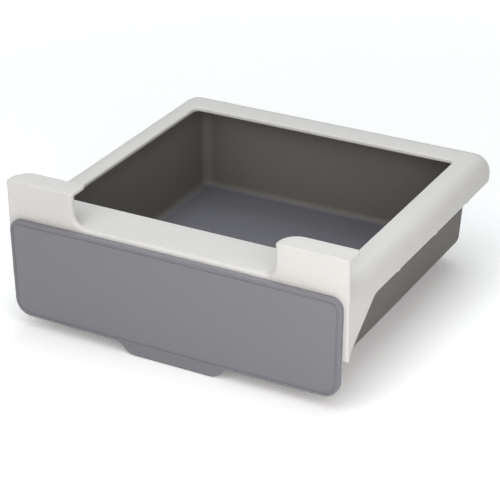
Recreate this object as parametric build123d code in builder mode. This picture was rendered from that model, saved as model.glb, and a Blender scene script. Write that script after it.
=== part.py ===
from build123d import *
import math
import os

# An under-shelf drawer, in millimetres. The origin is on the rim's flat top, midway across and in line
# with the backs of the hooks. The front faces -Y and +Z is up.

# Frame: rim, skirt, fascia and hooks
frame_width = 248.2
frame_back = 220.8
frame_wall = 2.6
rim_inset = 0.25
side_lean = 0.05
skirt_bottom = -18.4
rim_round = 12.8
rear_corner = 13.5
hook_rise = 23.0
hook_depth = 17.2
hook_width = 50.5
hook_flange = 2.2
hook_foot_radius = 9.0
hook_left_corner = 13.0
hook_right_corner = 3.2
fascia_wall = 3.2
scoop_edge_round = 2.6
hook_edge_round = 1.2
lintel_bottom = -5.0
portal_margin = 7.3
portal_corner = 1.2
jamb_tip = -48.4
gusset_slope = 0.733
gusset_blend = 12.0

# Opening in the rim
rim_flat = 8.2
rear_rim = 28.0
opening_front = 18.6
opening_corner = 4.5
opening_round = 1.5

# Fits
seat_gap = 0.05
running_gap = 0.3
side_gap = 0.4
lintel_gap = 0.6
flange_gap = 1.0
ledge_gap = 0.9
travel = 165.0

# Tray
tray_wall = 2.0
tray_flange = 2.0
tray_side_flange = 7.0
tray_rear_margin = 7.3
tray_rear_flange = 1.1
tray_flange_corner = 15.0
tray_lean = 0.05
tray_bottom = -70.1
tray_back_lean = 0.085
tray_foot_radius = 8.5
tray_inner_foot = 5.0
tray_front_corner = 12.0
tray_rear_corner = 9.2
tray_front_wall = 2.2

# Front panel
panel_margin = 2.8
panel_drop = 2.65
panel_thickness = 3.7
panel_lean = 0.02
panel_top = -3.2
panel_top_bow = 0.7
panel_bottom_bow = 1.0
panel_top_radius = 7.8
panel_bottom_radius = 11.5
panel_edge_round = 0.6
bead_width = 1.9
groove_width = 1.2
groove_depth = 0.45
groove_round = 0.3

# Finger pull
pull_flat_half = 27.5
pull_half = 44.5
pull_drop = 8.1
pull_lip = 2.4
pull_lip_back_set = 0.6
pull_roof = 2.1
pull_plate_half = 36.0
pull_plate_rise = 3.0
pull_plate_corner = 2.5
pull_plate = 1.5
pull_lip_round = 0.8

# Runners
runner_ledge = 2.0
runner_web = 2.2
runner_rear_gap = 17.0
rib_thickness = 1.4
rib_rise = 1.5
key_height = 1.2
key_depth = 0.8
key_drop_past_round = 1.6
key_front = 4.0
key_rear_gap = 9.0
toe_length = 4.4
toe_drop = 0.9
toe_reach = 0.2
toe_places = (59.3, 118.3, 172.3)

# Stops
stop_length = 12.0
stop_width = 6.0
stop_margin = 1.2
stop_slope_width = 2.0
stop_slope = 1.2
stop_headroom = 0.6
stop_peg_radius = 1.1
stop_peg_margin = 1.5
stop_peg_spacing = 6.0

# Screws
screw_shank_radius = 1.45
pilot_radius = 1.5
screw_reach = 2.4
screw_slot = 0.9
screw_slot_depth = 0.8
screw_edge_round = 0.7
panel_screw_head = 5.0
panel_screw_head_height = 2.2
panel_screw_margin = 31.0
panel_screw_spacing_z = 30.0
boss_radius = 3.6
boss_gap = 0.2
pull_screw_head = 2.2
pull_screw_head_height = 1.2
pull_screw_spacing = 52.0
pull_screw_drop = 0.7

# How far past an outline its edges are looked for
edge_reach = 1.0

# Places that follow from the sizes
fascia_front = -hook_depth
fascia_back = fascia_front + fascia_wall
hook_inner_end = frame_width / 2 - hook_width
portal_half = frame_width / 2 - portal_margin
opening_half = frame_width / 2 - rim_inset - rim_round - rim_flat
opening_back = frame_back - rear_rim
panel_half = frame_width / 2 - panel_margin
panel_bottom = tray_bottom - panel_drop
panel_back = fascia_front - running_gap
panel_front = panel_back - panel_thickness
tray_top = lintel_bottom - lintel_gap
tray_flange_half = portal_half - flange_gap
tray_half = tray_flange_half - tray_side_flange
tray_back = frame_back - tray_rear_margin
flange_bottom = tray_top - tray_flange
ledge_top = flange_bottom - running_gap
ledge_bottom = ledge_top - runner_ledge
ledge_inner = tray_half + ledge_gap
rib_inner = tray_flange_half + side_gap
rib_outer = rib_inner + rib_thickness
rib_top = ledge_top + rib_rise
runner_back = frame_back - runner_rear_gap
key_drop = rim_round + key_drop_past_round
key_back = runner_back - key_rear_gap
tray_front_inner = panel_back + tray_front_wall
pull_top = panel_bottom - panel_bottom_bow - seat_gap
pull_bottom = pull_top - pull_drop
pull_front = panel_front + pull_lip_back_set
pull_plate_front = panel_back + seat_gap
pull_plate_back = pull_plate_front + pull_plate
pull_plate_top = tray_bottom + pull_plate_rise
pull_screw_z = tray_bottom - pull_screw_drop
inner_round = rim_round - frame_wall
screw_end = panel_back - screw_reach
panel_screw_x = tray_half - panel_screw_margin
panel_screw_middle = (tray_top + tray_bottom) / 2
stop_outer = tray_flange_half - stop_margin
stop_inner = stop_outer - stop_width
stop_slope_start = stop_outer - stop_slope_width
stop_peg_x = stop_outer - stop_peg_margin


def front_at(y):
    return Plane(origin=(0, y, 0), x_dir=(1, 0, 0), z_dir=(0, -1, 0))


def half_width(z):
    # Of the rim and the skirt, whose sides lean in towards the bottom
    return frame_width / 2 - rim_inset + side_lean * z


def tray_half_at(z):
    return tray_half - tray_lean * (tray_top - z)


def hood(inset, front, corner):
    # A block under the rim with leaning sides, a round top edge and round rear corners
    top = -inset
    low = half_width(skirt_bottom) - inset
    high = half_width(top) - inset
    with BuildPart() as block:
        with BuildSketch(front_at(front)):
            with BuildLine():
                Polyline((-low, skirt_bottom), (low, skirt_bottom), (high, top), (-high, top), close=True)
            make_face()
        extrude(amount=front - (frame_back - inset))
        rear_edges = block.edges().group_by(Axis.Y)[-1].sort_by(Axis.X)
        fillet([rear_edges[0], rear_edges[-1]], corner - inset)
        rim_edges = block.faces().sort_by(Axis.Z)[-1].edges().sort_by(Axis.Y)[1:]
        fillet(rim_edges, rim_round - inset)
    return block.part


def tray_block(inset, top):
    # The tray's outside, or with an inset its inside
    floor = tray_bottom + inset
    front = panel_back + (tray_front_wall if inset else 0)
    back_low = tray_back - tray_back_lean * (tray_top - floor) - inset
    back_high = tray_back - tray_back_lean * (tray_top - top) - inset
    low = tray_half_at(floor) - inset
    high = tray_half_at(top) - inset
    with BuildPart() as block:
        with BuildSketch(front_at(front)):
            with BuildLine():
                Polyline((-low, floor), (low, floor), (high, top), (-high, top), close=True)
            make_face()
        extrude(amount=front - tray_back - tray_flange)
        with BuildSketch(Plane.YZ):
            with BuildLine():
                Polyline((front, floor), (back_low, floor), (back_high, top), (front, top), close=True)
            make_face()
        extrude(amount=frame_width, both=True, mode=Mode.INTERSECT)
        upright = block.edges().filter_by(lambda edge: abs(edge.tangent_at(0.5).Z) > 0.9)
        fillet(upright.group_by(Axis.Y)[0], tray_front_corner - inset)
        upright = block.edges().filter_by(lambda edge: abs(edge.tangent_at(0.5).Z) > 0.9)
        fillet(upright.group_by(Axis.Y)[-1], tray_rear_corner - inset)
        foot_radius = tray_inner_foot if inset else tray_foot_radius
        fillet(block.faces().sort_by(Axis.Z)[0].edges(), foot_radius)
    return block.part


def panel_outline(inset):
    low_half = panel_half - panel_lean * (panel_top - panel_bottom)
    with BuildSketch() as outline:
        with BuildLine():
            ThreePointArc((-panel_half, panel_top), (0, panel_top + panel_top_bow), (panel_half, panel_top))
            Line((panel_half, panel_top), (low_half, panel_bottom))
            ThreePointArc(
                (low_half, panel_bottom), (0, panel_bottom - panel_bottom_bow), (-low_half, panel_bottom)
            )
            Line((-low_half, panel_bottom), (-panel_half, panel_top))
        make_face()
        fillet(outline.vertices().group_by(Axis.Y)[-1], panel_top_radius)
        fillet(outline.vertices().group_by(Axis.Y)[0], panel_bottom_radius)
        if inset:
            offset(amount=-inset)
    return outline.sketch


def pan_screws(seat, end, head_radius, head_height, spots):
    # Pan-head screws whose heads seat at the plane y = seat and whose shanks end at y = end
    with BuildPart() as screws:
        with BuildSketch(front_at(seat)):
            with Locations(*spots):
                Circle(head_radius)
        extrude(amount=-head_height)
        fillet(screws.faces().group_by(Axis.Y)[-1].edges(), screw_edge_round)
        with BuildSketch(front_at(seat + head_height)):
            with Locations(*spots):
                Rectangle(head_radius, screw_slot)
                Rectangle(screw_slot, head_radius)
        extrude(amount=screw_slot_depth, mode=Mode.SUBTRACT)
        with BuildSketch(front_at(seat)):
            with Locations(*spots):
                Circle(screw_shank_radius)
        extrude(amount=seat - end)
    return screws.part


def finish(part, name):
    part.label = name
    export_step(part, "parts/" + name + ".step")


os.makedirs("parts", exist_ok=True)

# Frame shell
with BuildPart() as frame_shell:
    # Hook flanges
    with BuildSketch(front_at(fascia_front)):
        with Locations(*[(side * (frame_width - hook_width) / 2, hook_rise) for side in (-1, 1)]):
            Rectangle(hook_width, hook_flange, align=(Align.CENTER, Align.MAX))
    extrude(amount=-hook_depth)
    for first, hook_corner in enumerate((hook_left_corner, hook_right_corner)):
        rear_edges = frame_shell.edges().filter_by(Axis.Z).group_by(Axis.Y)[-1].sort_by(Axis.X)
        fillet(rear_edges[first::2], hook_corner)

    # Fascia plate, with the scoop between the hooks and a jamb at each side of the portal
    with BuildSketch(front_at(fascia_front)) as fascia:
        with BuildLine():
            Polyline(
                (-frame_width / 2, jamb_tip),
                (frame_width / 2, jamb_tip),
                (frame_width / 2, hook_rise),
                (hook_inner_end, hook_rise),
                (hook_inner_end, 0),
                (-hook_inner_end, 0),
                (-hook_inner_end, hook_rise),
                (-frame_width / 2, hook_rise),
                close=True,
            )
        make_face()
        scoop_feet = fascia.vertices().filter_by_position(Axis.Y, -seat_gap, seat_gap)
        fillet(scoop_feet, hook_foot_radius)
    extrude(amount=-fascia_wall)

    # Rim and skirt
    add(hood(0, fascia_front + fascia_wall / 2, rear_corner))
    add(hood(frame_wall, fascia_back, rear_corner), mode=Mode.SUBTRACT)

    # Side gussets below the skirt, behind the jambs
    gusset_end = fascia_front + (skirt_bottom - jamb_tip) / gusset_slope
    gusset_outer = half_width(skirt_bottom)
    with BuildSketch(front_at(fascia_back)):
        for side in (-1, 1):
            with BuildLine():
                Polyline(
                    (side * gusset_outer, jamb_tip),
                    (side * gusset_outer, skirt_bottom),
                    (side * (gusset_outer - frame_wall), skirt_bottom),
                    (side * (gusset_outer - frame_wall), jamb_tip),
                    close=True,
                )
            make_face()
    extrude(amount=fascia_back - gusset_end - gusset_blend)
    with BuildSketch(Plane.YZ) as gusset_waste:
        with BuildLine():
            Polyline(
                (fascia_front, jamb_tip),
                (gusset_end, skirt_bottom),
                (gusset_end + 2 * gusset_blend, skirt_bottom),
                (gusset_end + 2 * gusset_blend, 2 * jamb_tip),
                (fascia_front, 2 * jamb_tip),
                close=True,
            )
        make_face()
        blend_corner = gusset_waste.vertices().filter_by_position(Axis.Y, skirt_bottom - seat_gap, 0)
        fillet(blend_corner.sort_by(Axis.X)[0], gusset_blend)
    extrude(amount=frame_width, both=True, mode=Mode.SUBTRACT)

    # Portal for the drawer
    with BuildSketch(front_at(fascia_front)) as portal:
        with Locations((0, lintel_bottom)):
            Rectangle(2 * portal_half, hook_depth - 2 * jamb_tip, align=(Align.CENTER, Align.MAX))
        fillet(portal.vertices().group_by(Axis.Y)[-1], portal_corner)
    extrude(amount=-fascia_wall, mode=Mode.SUBTRACT)

    # Opening in the rim
    with BuildSketch(Plane.XY) as opening:
        with Locations((0, opening_front)):
            Rectangle(2 * opening_half, opening_back - opening_front, align=(Align.CENTER, Align.MIN))
        fillet(opening.vertices(), opening_corner)
    extrude(amount=-frame_wall, mode=Mode.SUBTRACT)

    # Keys on the inner side walls that the runners snap over
    with BuildSketch(front_at(key_front)):
        for side in (-1, 1):
            key_high = half_width(-key_drop) - frame_wall
            key_low = half_width(-key_drop - key_height) - frame_wall
            with BuildLine():
                Polyline(
                    (side * (key_high + frame_wall / 2), -key_drop),
                    (side * (key_high - key_depth), -key_drop),
                    (side * (key_low - key_depth), -key_drop - key_height),
                    (side * (key_low + frame_wall / 2), -key_drop - key_height),
                    close=True,
                )
            make_face()
    extrude(amount=key_front - key_back)

    # Rounded edges: the opening, the bar between the hooks, then the rest of the front and the hooks' tops
    rim_face_edges = frame_shell.edges().filter_by_position(Axis.Z, -seat_gap / 10, seat_gap / 10)
    opening_edges = rim_face_edges.filter_by_position(
        Axis.Y, opening_front - edge_reach, opening_back + edge_reach
    )
    opening_edges = opening_edges.filter_by_position(
        Axis.X, -opening_half - edge_reach, opening_half + edge_reach
    )
    fillet(opening_edges, opening_round)
    front_edges = frame_shell.faces().sort_by(Axis.Y)[0].edges()
    scoop_edges = front_edges.filter_by(
        lambda edge: edge.center().Z > -seat_gap and abs(edge.center().X) < hook_inner_end + seat_gap
    )
    fillet(scoop_edges, scoop_edge_round)
    front_edges = frame_shell.faces().sort_by(Axis.Y)[0].edges()
    jamb_edges = portal_half + edge_reach
    outer_edges = front_edges.filter_by(
        lambda edge: edge.center().Z > hook_rise - seat_gap or abs(edge.center().X) > jamb_edges
    )
    fillet(outer_edges, hook_edge_round)
finish(frame_shell.part, "frame_shell")

# Runners
for side, runner_name in ((-1, "left_runner"), (1, "right_runner")):
    web_gap = frame_wall + seat_gap
    arc_centre = half_width(-rim_round) - rim_round
    arc_radius = inner_round - seat_gap
    arc_rise = ledge_top + rim_round
    arc_out = math.sqrt(arc_radius**2 - arc_rise**2)
    arc_mid = math.asin(arc_rise / arc_radius) / 2
    web_inner = half_width(-rim_round) - web_gap - runner_web
    web_bottom = skirt_bottom + seat_gap
    groove_top = -key_drop + seat_gap
    groove_bottom = -key_drop - key_height - seat_gap
    groove = web_gap + key_depth
    with BuildPart() as runner:
        with BuildSketch(front_at(fascia_back + seat_gap)):
            with BuildLine():
                Polyline(
                    (side * arc_centre + side * arc_radius, -rim_round),
                    (side * (half_width(groove_top) - web_gap), groove_top),
                    (side * (half_width(groove_top) - groove), groove_top),
                    (side * (half_width(groove_bottom) - groove), groove_bottom),
                    (side * (half_width(groove_bottom) - web_gap), groove_bottom),
                    (side * (half_width(web_bottom) - web_gap), web_bottom),
                    (side * web_inner, web_bottom),
                    (side * web_inner, ledge_bottom),
                    (side * ledge_inner, ledge_bottom),
                    (side * ledge_inner, ledge_top),
                    (side * rib_inner, ledge_top),
                    (side * rib_inner, rib_top),
                    (side * rib_outer, rib_top),
                    (side * rib_outer, ledge_top),
                    (side * (arc_centre + arc_out), ledge_top),
                )
                ThreePointArc(
                    (side * (arc_centre + arc_out), ledge_top),
                    (
                        side * (arc_centre + arc_radius * math.cos(arc_mid)),
                        -rim_round + arc_radius * math.sin(arc_mid),
                    ),
                    (side * (arc_centre + arc_radius), -rim_round),
                )
            make_face()
        extrude(amount=fascia_back + seat_gap - runner_back)
        # Toes that hook under the skirt
        toe_outer = half_width(skirt_bottom) - toe_reach
        for toe_place in toe_places:
            with BuildSketch(front_at(toe_place - toe_length / 2)):
                with BuildLine():
                    Polyline(
                        (side * web_inner, web_bottom),
                        (side * (half_width(web_bottom) - web_gap), web_bottom),
                        (side * (half_width(web_bottom) - web_gap), skirt_bottom - seat_gap),
                        (side * toe_outer, skirt_bottom - seat_gap),
                        (side * toe_outer, skirt_bottom - toe_drop),
                        (side * web_inner, skirt_bottom - toe_drop),
                        close=True,
                    )
                make_face()
            extrude(amount=-toe_length)
    finish(runner.part, runner_name)

# Stops, each with two pegs pressed into the tray's flange
stop_front = fascia_back + travel + running_gap
stop_top = -frame_wall - stop_headroom
stop_seat = tray_top + seat_gap
peg_ys = [stop_front + stop_length / 2 + shift * stop_peg_spacing / 2 for shift in (-1, 1)]
for side, stop_name in ((-1, "left_stop"), (1, "right_stop")):
    with BuildPart() as stop:
        with BuildSketch(front_at(stop_front)):
            with BuildLine():
                Polyline(
                    (side * stop_inner, stop_seat),
                    (side * stop_outer, stop_seat),
                    (side * stop_outer, stop_top - stop_slope),
                    (side * stop_slope_start, stop_top),
                    (side * stop_inner, stop_top),
                    close=True,
                )
            make_face()
        extrude(amount=-stop_length)
        with BuildSketch(Plane.XY.offset(stop_seat)):
            with Locations(*[(side * stop_peg_x, y) for y in peg_ys]):
                Circle(stop_peg_radius)
        extrude(amount=-tray_flange)
    finish(stop.part, stop_name)

# Tray, with holes for the panel's bosses and the stops' pegs
screw_grid = [
    (x * panel_screw_x, panel_screw_middle + z * panel_screw_spacing_z / 2)
    for x in (-1, 1)
    for z in (-1, 1)
]
with BuildPart() as drawer_bin:
    add(tray_block(0, tray_top))
    flange_depth = tray_back + tray_rear_flange - panel_back
    with BuildSketch(Plane.XY.offset(tray_top)) as flange:
        with Locations((0, panel_back)):
            Rectangle(2 * tray_flange_half, flange_depth, align=(Align.CENTER, Align.MIN))
        fillet(flange.vertices().group_by(Axis.Y)[-1], tray_flange_corner)
    extrude(amount=-tray_flange)
    add(tray_block(tray_wall, tray_top), mode=Mode.SUBTRACT)
    with BuildSketch(front_at(panel_back)):
        with Locations(*screw_grid):
            Circle(boss_radius + boss_gap)
    extrude(amount=-tray_front_wall, mode=Mode.SUBTRACT)
    with BuildSketch(Plane.XY.offset(tray_top)):
        for side in (-1, 1):
            with Locations(*[(side * stop_peg_x, y) for y in peg_ys]):
                Circle(stop_peg_radius + seat_gap)
    extrude(amount=-tray_flange, mode=Mode.SUBTRACT)
finish(drawer_bin.part, "drawer_bin")

# Front panel
pull_spots = [(side * pull_screw_spacing / 2, pull_screw_z) for side in (-1, 1)]
with BuildPart() as front_panel:
    with BuildSketch(front_at(panel_front)):
        add(panel_outline(0))
    extrude(amount=-panel_thickness)
    fillet(front_panel.faces().sort_by(Axis.Y)[0].edges(), panel_edge_round)
    with BuildSketch(front_at(panel_front)):
        add(panel_outline(bead_width))
        add(panel_outline(bead_width + groove_width), mode=Mode.SUBTRACT)
    extrude(amount=-groove_depth, mode=Mode.SUBTRACT)
    field_and_bead = front_panel.faces().filter_by(Axis.Y).group_by(Axis.Y)[0].sort_by(SortBy.AREA)
    groove_edges = field_and_bead[0].inner_wires()[0].edges() + field_and_bead[-1].outer_wire().edges()
    fillet(groove_edges, groove_round)
    with BuildSketch(front_at(panel_back)):
        with Locations(*screw_grid):
            Circle(boss_radius)
    extrude(amount=seat_gap - tray_front_wall)
    with BuildSketch(front_at(tray_front_inner)):
        with Locations(*screw_grid, *pull_spots):
            Circle(pilot_radius)
    extrude(amount=tray_front_inner - screw_end, mode=Mode.SUBTRACT)
finish(front_panel.part, "front_panel")

# Finger pull: a lip in front, a roof over the fingers and a plate up behind the panel
with BuildPart() as finger_pull:
    with BuildSketch(front_at(pull_front)) as lip_outline:
        bend_x = (pull_half + pull_flat_half) / 2
        bend_z = (pull_top + pull_bottom) / 2
        with BuildLine():
            Line((-pull_half, pull_top), (pull_half, pull_top))
            Line((-pull_flat_half, pull_bottom), (pull_flat_half, pull_bottom))
            for side in (-1, 1):
                foot = TangentArc(
                    (side * pull_flat_half, pull_bottom), (side * bend_x, bend_z), tangent=(side, 0)
                )
                TangentArc((side * bend_x, bend_z), (side * pull_half, pull_top), tangent=foot % 1)
        make_face()
    extrude(amount=-pull_lip)
    with BuildSketch(front_at(pull_front)):
        with Locations((0, pull_top)):
            Rectangle(2 * pull_plate_half, pull_roof, align=(Align.CENTER, Align.MAX))
    extrude(amount=pull_front - pull_plate_back)
    with BuildSketch(front_at(pull_plate_front)) as plate:
        with Locations((0, pull_plate_top)):
            Rectangle(
                2 * pull_plate_half, pull_plate_top - pull_top + pull_roof, align=(Align.CENTER, Align.MAX)
            )
        fillet(plate.vertices().group_by(Axis.Y)[-1], pull_plate_corner)
    extrude(amount=-pull_plate)
    with BuildSketch(front_at(pull_plate_front)):
        with Locations(*pull_spots):
            Circle(pilot_radius)
    extrude(amount=-pull_plate, mode=Mode.SUBTRACT)
    lip_face = finger_pull.faces().sort_by(Axis.Y)[0]
    lip_edges = lip_face.edges().filter_by(lambda edge: edge.center().Z < pull_top - seat_gap)
    fillet(lip_edges, pull_lip_round)
finish(finger_pull.part, "finger_pull")

# Screws
finish(
    pan_screws(tray_front_inner, screw_end, panel_screw_head, panel_screw_head_height, screw_grid),
    "panel_screws",
)
finish(
    pan_screws(pull_plate_back, screw_end, pull_screw_head, pull_screw_head_height, pull_spots),
    "pull_screws",
)
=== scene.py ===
import bpy
import math
from mathutils import Matrix, Vector


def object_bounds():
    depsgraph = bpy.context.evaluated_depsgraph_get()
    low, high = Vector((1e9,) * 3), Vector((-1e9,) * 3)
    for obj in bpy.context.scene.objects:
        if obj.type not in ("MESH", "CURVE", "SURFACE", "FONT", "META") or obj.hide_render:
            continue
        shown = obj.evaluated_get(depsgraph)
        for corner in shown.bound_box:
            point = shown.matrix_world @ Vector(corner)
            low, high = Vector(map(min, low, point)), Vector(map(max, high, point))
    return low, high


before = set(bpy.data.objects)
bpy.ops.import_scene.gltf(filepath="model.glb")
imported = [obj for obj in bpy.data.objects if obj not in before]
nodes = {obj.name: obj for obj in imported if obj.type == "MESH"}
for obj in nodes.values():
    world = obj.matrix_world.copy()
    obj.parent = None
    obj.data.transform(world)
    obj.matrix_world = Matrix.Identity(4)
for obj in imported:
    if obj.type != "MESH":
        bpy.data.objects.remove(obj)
cadLow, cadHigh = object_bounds()
print("frame loaded:", len(nodes), "nodes")

mmPerMetre = 1000


# The way from the drawer to a camera or a lamp: azimuth 0 is straight in front of the panel,
# and 90 is on the right of someone facing it
def wayOut(setup):
    azimuth = math.radians(setup["azimuth"])
    elevation = math.radians(setup["elevation"])
    return Vector((
        math.sin(azimuth) * math.cos(elevation),
        -math.cos(azimuth) * math.cos(elevation),
        math.sin(elevation),
    ))


# Camera, where the photograph's was: metres and degrees in the part's own frame,
# and millimetres for the lens and the sensor
cameraSetup = {
    "target": (-0.01521, 0.1138, -0.06199),
    "distance": 1.32125,
    "azimuth": 28.759,
    "elevation": 27.133,
    "roll": -0.440,
    "lens": 135.68,
    "sensor": 36.0,
    "clipStart": 0.05,
    "clipEnd": 20.0,
}


def addCamera(setup):
    back = wayOut(setup)
    roll = math.radians(setup["roll"])
    level = (-back).cross(Vector((0, 0, 1))).normalized()
    upright = level.cross(-back)
    right = level * math.cos(roll) + upright * math.sin(roll)
    up = upright * math.cos(roll) - level * math.sin(roll)
    data = bpy.data.cameras.new("photoCamera")
    data.lens = setup["lens"]
    data.sensor_width = setup["sensor"]
    data.clip_start = setup["clipStart"]
    data.clip_end = setup["clipEnd"]
    camera = bpy.data.objects.new("photoCamera", data)
    bpy.context.scene.collection.objects.link(camera)
    turn = Matrix((right, up, back)).transposed()
    place = Vector(setup["target"]) + back * setup["distance"]
    camera.matrix_world = Matrix.Translation(place) @ turn.to_4x4()
    bpy.context.scene.camera = camera


addCamera(cameraSetup)
print("camera set")


# Colours are written as on a screen, and Blender wants them linear: this is the sRGB curve
def linearColor(hexText):
    channels = []
    for start in (0, 2, 4):
        value = int(hexText[start:start + 2], 16) / 255
        if value <= 0.04045:
            channels.append(value / 12.92)
        else:
            channels.append(((value + 0.055) / 1.055) ** 2.4)
    return (*channels, 1.0)


# One function adds a node: its links in and its settings by socket, and its other properties
def addNode(tree, kind, links=None, settings=None, **properties):
    node = tree.nodes.new(kind)
    for name, value in properties.items():
        setattr(node, name, value)
    for socket, value in (settings or {}).items():
        node.inputs[socket].default_value = value
    for socket, source in (links or {}).items():
        tree.links.new(source, node.inputs[socket])
    return node


def newMaterial(name):
    material = bpy.data.materials.new(name)
    material.use_nodes = True
    tree = material.node_tree
    tree.nodes.clear()
    return material, tree


# What the three moulded plastics share
mouldedSurface = {
    "flowLow": 0.3, "flowHigh": 0.7,  # flow noise where a patch is glossiest and where dullest
    "roughnessSpan": 0.03,  # how far those patches stray from the plain roughness
    "wearStart": 0.52, "wearFull": 0.62,  # pointiness, 0.5 on a flat face and more on an edge
    "dustAndCoolLightStart": 0.6, "dustAndCoolLightFull": 1.0,  # upward share of the normal, 1 on a level face
    "grainDepth": 0.3,  # depth of the grain as a share of its width
}


# Injection-moulded plastic from a spark-eroded mould: soft wide highlights, a tiny grain, a faint
# cloudiness from the melt's flow, and edges a little paler from handling. Where it faces up it
# takes a cool tint, which is partly dust and fine scuffs and partly painted cool light from above.
# The real grain is about 0.1 mm wide, too fine for the render, so grainMm is drawn several times
# coarser.
def mouldedPlastic(look):
    material, tree = newMaterial(look["name"])
    place = addNode(tree, "ShaderNodeTexCoord").outputs["Object"]
    flow = addNode(tree, "ShaderNodeTexNoise", {"Vector": place}, {
        "Scale": mmPerMetre / look["flowMm"], "Detail": 3.0, "Roughness": 0.5,
    })
    tint = addNode(tree, "ShaderNodeMix", {"Factor": flow.outputs["Fac"]}, {
        "A": linearColor(look["low"]), "B": linearColor(look["high"]),
    }, data_type="RGBA")
    pointed = addNode(tree, "ShaderNodeNewGeometry").outputs["Pointiness"]
    worn = addNode(tree, "ShaderNodeMapRange", {"Value": pointed}, {
        "From Min": mouldedSurface["wearStart"], "From Max": mouldedSurface["wearFull"],
        "To Min": 0.0, "To Max": look["wear"],
    })
    handled = addNode(tree, "ShaderNodeMix", {
        "Factor": worn.outputs["Result"], "A": tint.outputs["Result"],
    }, {"B": linearColor(look["edge"])}, data_type="RGBA")
    # Painted cool light from above, mixed with dust: faces that turn upwards are blended towards a
    # cooler tint
    facing = addNode(tree, "ShaderNodeTexCoord").outputs["Normal"]
    upward = addNode(tree, "ShaderNodeSeparateXYZ", {"Vector": facing}).outputs["Z"]
    dustAndCoolLightShare = addNode(tree, "ShaderNodeMapRange", {"Value": upward}, {
        "From Min": mouldedSurface["dustAndCoolLightStart"], "From Max": mouldedSurface["dustAndCoolLightFull"],
        "To Min": 0.0, "To Max": look["dustAndCoolLight"],
    })
    color = addNode(tree, "ShaderNodeMix", {
        "Factor": dustAndCoolLightShare.outputs["Result"], "A": handled.outputs["Result"],
    }, {"B": linearColor(look["dustAndCoolLightTint"])}, data_type="RGBA")
    grain = addNode(tree, "ShaderNodeTexNoise", {"Vector": place}, {
        "Scale": mmPerMetre / look["grainMm"], "Detail": 2.0, "Roughness": 0.6,
    })
    gloss = addNode(tree, "ShaderNodeMapRange", {"Value": flow.outputs["Fac"]}, {
        "From Min": mouldedSurface["flowLow"], "From Max": mouldedSurface["flowHigh"],
        "To Min": look["roughness"] - mouldedSurface["roughnessSpan"],
        "To Max": look["roughness"] + mouldedSurface["roughnessSpan"],
    })
    bump = addNode(tree, "ShaderNodeBump", {"Height": grain.outputs["Fac"]}, {
        "Strength": look["grainStrength"],
        "Distance": look["grainMm"] / mmPerMetre * mouldedSurface["grainDepth"],
    })
    shader = addNode(tree, "ShaderNodeBsdfPrincipled", {
        "Base Color": color.outputs["Result"],
        "Roughness": gloss.outputs["Result"],
        "Normal": bump.outputs["Normal"],
    }, {"IOR": look["ior"]})
    addNode(tree, "ShaderNodeOutputMaterial", {"Surface": shader.outputs["BSDF"]})
    return material


# White ABS with a warm tint, of the frame, its runners and the stops
frameLook = {
    "name": "mouldedWhiteAbs",
    "low": "D2D0CD", "high": "D8D6D2", "edge": "E0DEDB",
    "flowMm": 60.0, "grainMm": 0.7, "grainStrength": 0.12,
    "roughness": 0.52, "ior": 1.53, "wear": 0.5, "dustAndCoolLight": 0.1, "dustAndCoolLightTint": "D6D8DC",
}
# Warm grey polypropylene of the tray
trayLook = {
    "name": "mouldedGreyPolypropylene",
    "low": "6A6662", "high": "6E6B66", "edge": "7B7874",
    "flowMm": 50.0, "grainMm": 0.8, "grainStrength": 0.14,
    # The upward tint here is mostly painted cool light from above on the tray's floor, with some
    # dust
    "roughness": 0.6, "ior": 1.49, "wear": 0.5, "dustAndCoolLight": 0.8, "dustAndCoolLightTint": "6B6C75",
}
# Cooler grey ABS of the panel and the pull
panelLook = {
    "name": "mouldedGreyAbs",
    "low": "77777D", "high": "7C7C81", "edge": "8A8A8F",
    "flowMm": 70.0, "grainMm": 0.6, "grainStrength": 0.1,
    "roughness": 0.55, "ior": 1.53, "wear": 0.5, "dustAndCoolLight": 0.1, "dustAndCoolLightTint": "808188",
}


# Zinc-plated steel screws: bright, a little blue, and unevenly bright from the plating's crystals.
# Those are far finer than the render shows, so mottleMm is drawn coarse.
def zincPlatedSteel(look):
    material, tree = newMaterial(look["name"])
    place = addNode(tree, "ShaderNodeTexCoord").outputs["Object"]
    mottle = addNode(tree, "ShaderNodeTexNoise", {"Vector": place}, {
        "Scale": mmPerMetre / look["mottleMm"], "Detail": 4.0, "Roughness": 0.6,
    })
    color = addNode(tree, "ShaderNodeMix", {"Factor": mottle.outputs["Fac"]}, {
        "A": linearColor(look["low"]), "B": linearColor(look["high"]),
    }, data_type="RGBA")
    gloss = addNode(tree, "ShaderNodeMapRange", {"Value": mottle.outputs["Fac"]}, {
        "To Min": look["roughness"] - look["roughnessSpan"],
        "To Max": look["roughness"] + look["roughnessSpan"],
    })
    shader = addNode(tree, "ShaderNodeBsdfPrincipled", {
        "Base Color": color.outputs["Result"], "Roughness": gloss.outputs["Result"],
    }, {"Metallic": 1.0})
    addNode(tree, "ShaderNodeOutputMaterial", {"Surface": shader.outputs["BSDF"]})
    return material


screwLook = {
    "name": "zincPlatedSteel",
    "low": "B4B6BA", "high": "CDCFD2",
    "mottleMm": 0.9, "roughness": 0.34, "roughnessSpan": 0.08,
}

whiteAbs = mouldedPlastic(frameLook)
greyPolypropylene = mouldedPlastic(trayLook)
greyAbs = mouldedPlastic(panelLook)
zincSteel = zincPlatedSteel(screwLook)

finishOf = {
    "frame_shell": whiteAbs,
    "left_runner": whiteAbs,
    "right_runner": whiteAbs,
    "left_stop": whiteAbs,
    "right_stop": whiteAbs,
    "drawer_bin": greyPolypropylene,
    "front_panel": greyAbs,
    "finger_pull": greyAbs,
    "panel_screws": zincSteel,
    "pull_screws": zincSteel,
}
for name, material in finishOf.items():
    nodes[name].data.materials.clear()
    nodes[name].data.materials.append(material)
print("materials set:", len(finishOf), "nodes")

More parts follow.
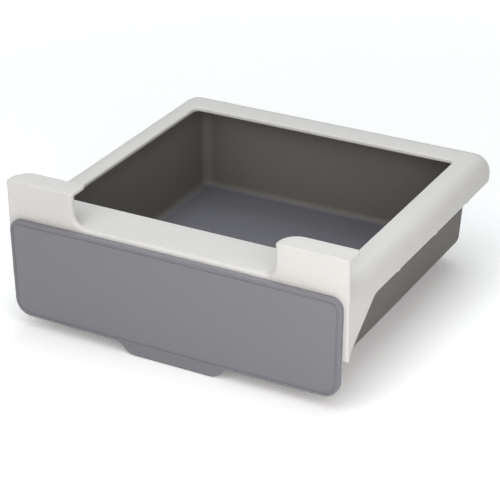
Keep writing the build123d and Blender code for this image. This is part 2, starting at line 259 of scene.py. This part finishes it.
whiteShine = (1.0, 1.0, 1.0, 1.0)


# Which rays look straight at a surface, and which see it in a shiny or clear one
def rayKinds(tree):
    path = addNode(tree, "ShaderNodeLightPath")
    mirrored = addNode(tree, "ShaderNodeMath", {
        0: path.outputs["Is Glossy Ray"], 1: path.outputs["Is Transmission Ray"],
    }, operation="MAXIMUM")
    return path.outputs["Is Camera Ray"], mirrored.outputs["Value"]


# Floor: a plain pale sheet just under the drawer that keeps its shadow. To the camera, and in a
# shiny or clear surface, it is lifted towards white, and more so far off. Lengths are in metres.
floorSetup = {
    "size": 12.0, "gap": 0.0002, "color": "FDFDFD",
    "lift": 0.185, "liftFrom": 0.35, "farLift": 1.0, "liftTo": 1.8,
}


def addFloor(setup):
    half = setup["size"] / 2
    level = cadLow.z - setup["gap"]
    mesh = bpy.data.meshes.new("paleFloor")
    mesh.from_pydata(
        [(-half, -half, level), (half, -half, level), (half, half, level), (-half, half, level)],
        [],
        [(0, 1, 2, 3)],
    )
    floor = bpy.data.objects.new("paleFloor", mesh)
    bpy.context.scene.collection.objects.link(floor)
    material, tree = newMaterial("palePaper")
    paper = addNode(tree, "ShaderNodeBsdfDiffuse", settings={
        "Color": linearColor(setup["color"]),
    })
    seen, mirrored = rayKinds(tree)
    shown = addNode(tree, "ShaderNodeMath", {0: seen, 1: mirrored}, operation="MAXIMUM")
    spot = addNode(tree, "ShaderNodeTexCoord").outputs["Object"]
    away = addNode(tree, "ShaderNodeVectorMath", {0: spot}, operation="LENGTH")
    rise = addNode(tree, "ShaderNodeMapRange", {"Value": away.outputs["Value"]}, {
        "From Min": setup["liftFrom"], "From Max": setup["liftTo"],
        "To Min": setup["lift"], "To Max": setup["farLift"],
    }, interpolation_type="SMOOTHSTEP")
    strength = addNode(tree, "ShaderNodeMath", {
        0: shown.outputs["Value"], 1: rise.outputs["Result"],
    }, operation="MULTIPLY")
    lift = addNode(tree, "ShaderNodeEmission", {"Strength": strength.outputs["Value"]}, {
        "Color": whiteShine,
    })
    lifted = addNode(tree, "ShaderNodeAddShader", {
        0: paper.outputs["BSDF"], 1: lift.outputs["Emission"],
    })
    addNode(tree, "ShaderNodeOutputMaterial", {"Surface": lifted.outputs["Shader"]})
    mesh.materials.append(material)


addFloor(floorSetup)

# Studio light: soft square boxes, warm from the front and the right, cool from above, the left
# and behind. Distances and sizes are in metres, and angles as for the camera.
warmLight = (1.037, 1.0, 0.992)
coolLight = (0.955, 1.0, 1.011)
lampSetups = [
    {"name": "frontLeftBox", "azimuth": -20, "elevation": 38, "distance": 1.6, "size": 1.3,
     "watts": 8.5, "color": warmLight},
    {"name": "lowFrontBox", "azimuth": 10, "elevation": 16, "distance": 1.6, "size": 0.8,
     "watts": 3.0, "color": warmLight},
    {"name": "nearRightBox", "azimuth": 52, "elevation": 24, "distance": 0.75, "size": 0.45,
     "watts": 2.1, "color": warmLight},
    {"name": "rearBox", "azimuth": 185, "elevation": 60, "distance": 2.6, "size": 1.8,
     "watts": 24.0, "color": coolLight},
    {"name": "leftBox", "azimuth": -105, "elevation": 48, "distance": 1.6, "size": 1.3,
     "watts": 2.6, "color": coolLight},
    {"name": "topBox", "azimuth": 0, "elevation": 86, "distance": 1.5, "size": 1.3,
     "watts": 5.2, "color": coolLight},
    {"name": "nearTopBox", "azimuth": 15, "elevation": 74, "distance": 0.85, "size": 0.7,
     "watts": 1.4, "color": coolLight},
]


def addLamp(setup):
    back = wayOut(setup)
    aim = (cadLow + cadHigh) / 2
    data = bpy.data.lights.new(setup["name"], "AREA")
    data.shape = "SQUARE"
    data.size = setup["size"]
    data.energy = setup["watts"]
    data.color = setup["color"]
    lamp = bpy.data.objects.new(setup["name"], data)
    lamp.location = aim + back * setup["distance"]
    lamp.rotation_mode = "QUATERNION"
    lamp.rotation_quaternion = back.to_track_quat("Z", "Y")
    bpy.context.scene.collection.objects.link(lamp)


for lampSetup in lampSetups:
    addLamp(lampSetup)

# The room: white to the camera, dim in a shiny or clear surface, and dark to every other ray, so
# that it lights nothing
roomSetup = {"unseen": 0.0, "mirrored": 0.27, "seen": 1.0}


def setRoom(setup):
    world = bpy.data.worlds.new("paleRoom")
    world.use_nodes = True
    tree = world.node_tree
    tree.nodes.clear()
    seen, mirrored = rayKinds(tree)
    indirect = addNode(tree, "ShaderNodeMix", {"Factor": mirrored}, {
        "A": setup["unseen"], "B": setup["mirrored"],
    }, data_type="FLOAT")
    strength = addNode(tree, "ShaderNodeMix", {
        "Factor": seen, "A": indirect.outputs["Result"],
    }, {"B": setup["seen"]}, data_type="FLOAT")
    shine = addNode(tree, "ShaderNodeBackground", {"Strength": strength.outputs["Result"]}, {
        "Color": whiteShine,
    })
    addNode(tree, "ShaderNodeOutputWorld", {"Surface": shine.outputs["Background"]})
    bpy.context.scene.world = world


setRoom(roomSetup)
bpy.context.scene.view_settings.view_transform = "Standard"
print("stage and lights set")
